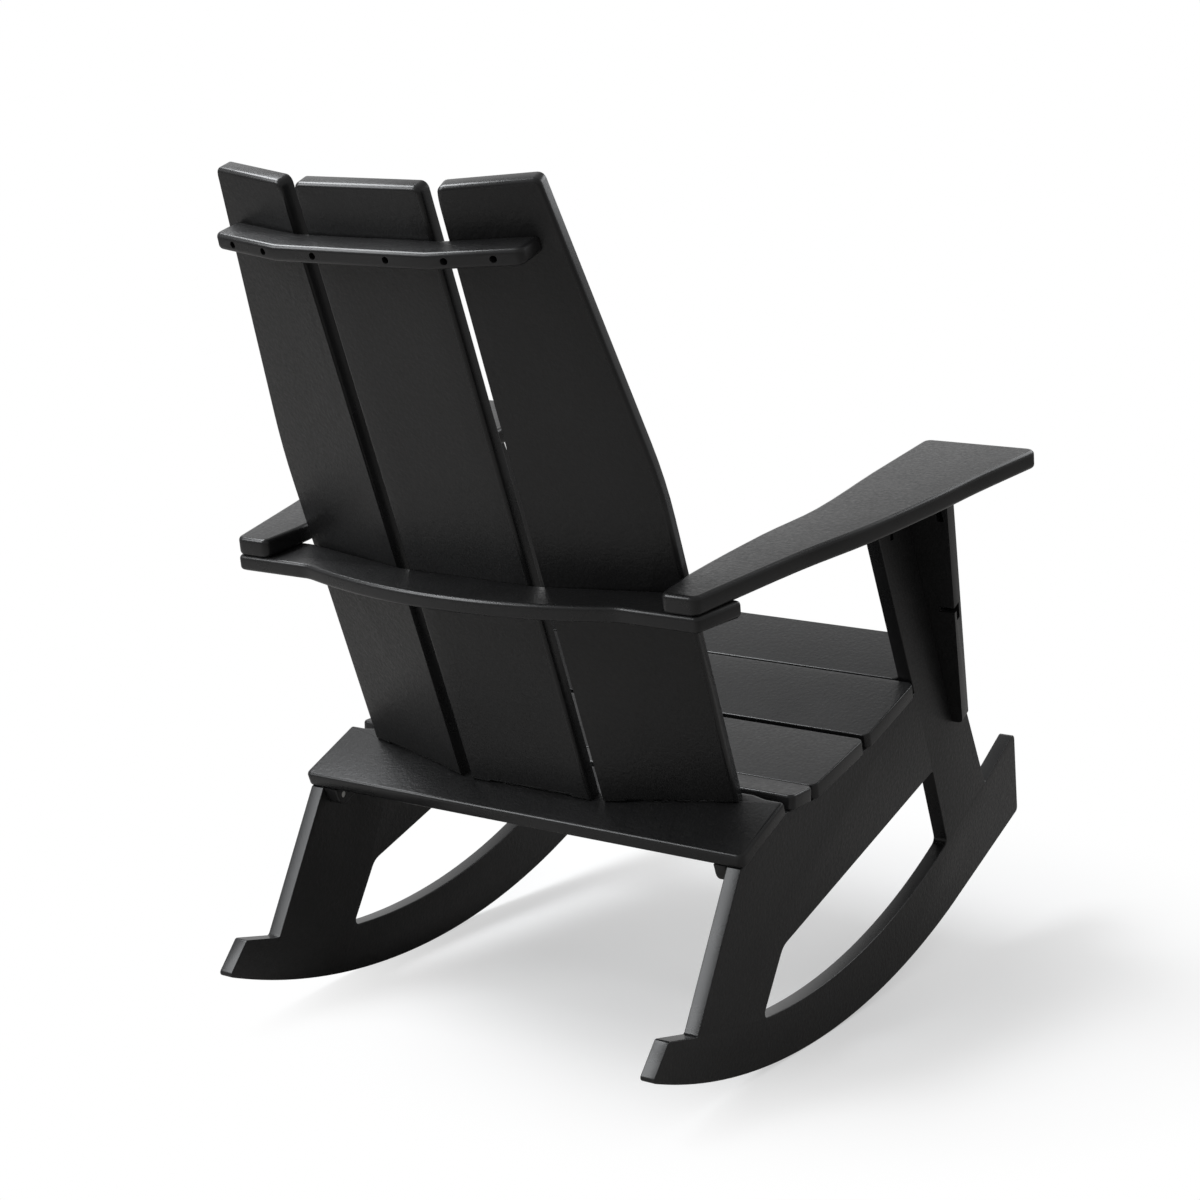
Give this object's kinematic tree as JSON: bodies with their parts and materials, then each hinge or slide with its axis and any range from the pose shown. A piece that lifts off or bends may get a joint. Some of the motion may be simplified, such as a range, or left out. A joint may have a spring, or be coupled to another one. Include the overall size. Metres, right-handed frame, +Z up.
{
  "type": "rocking chair",
  "caption": "Slatted outdoor rocking chair of black plastic sheet: tall fanned back, broad tilted armrests and side frames cut in one piece with their rockers.",
  "frame": {"origin": "on the ground under the middle of the chair's bounding box", "axes": "+Z up, the chair faces -Y, +X towards the sitter's left"},
  "size_m": [0.8138, 0.9836, 0.985],
  "materials": {
    "black_sheet": "fine orange-peel grain, satin, edges rounded over",
    "screw_steel": "plain stainless"
  },
  "bodies": {
    "root": {"side_frame_left": "black_sheet", "side_frame_right": "black_sheet", "armrest_left": "black_sheet", "armrest_right": "black_sheet", "arm_gusset_left": "black_sheet", "arm_gusset_right": "black_sheet", "seat_cleat_left": "black_sheet", "seat_cleat_right": "black_sheet", "front_apron": "black_sheet", "front_seat_board": "black_sheet", "second_seat_board": "black_sheet", "third_seat_board": "black_sheet", "narrow_seat_board": "black_sheet", "rear_seat_board": "black_sheet", "back_slat_left": "black_sheet", "back_slat_centre": "black_sheet", "back_slat_right": "black_sheet", "lower_back_brace": "black_sheet", "upper_back_brace": "black_sheet", "seat_screws": "screw_steel", "cleat_screws": "screw_steel", "apron_screws": "screw_steel", "gusset_screws": "screw_steel", "armrest_screws": "screw_steel", "lower_brace_screws": "screw_steel", "upper_brace_screws": "screw_steel", "slat_foot_screws": "screw_steel"}
  },
  "joints": []
}
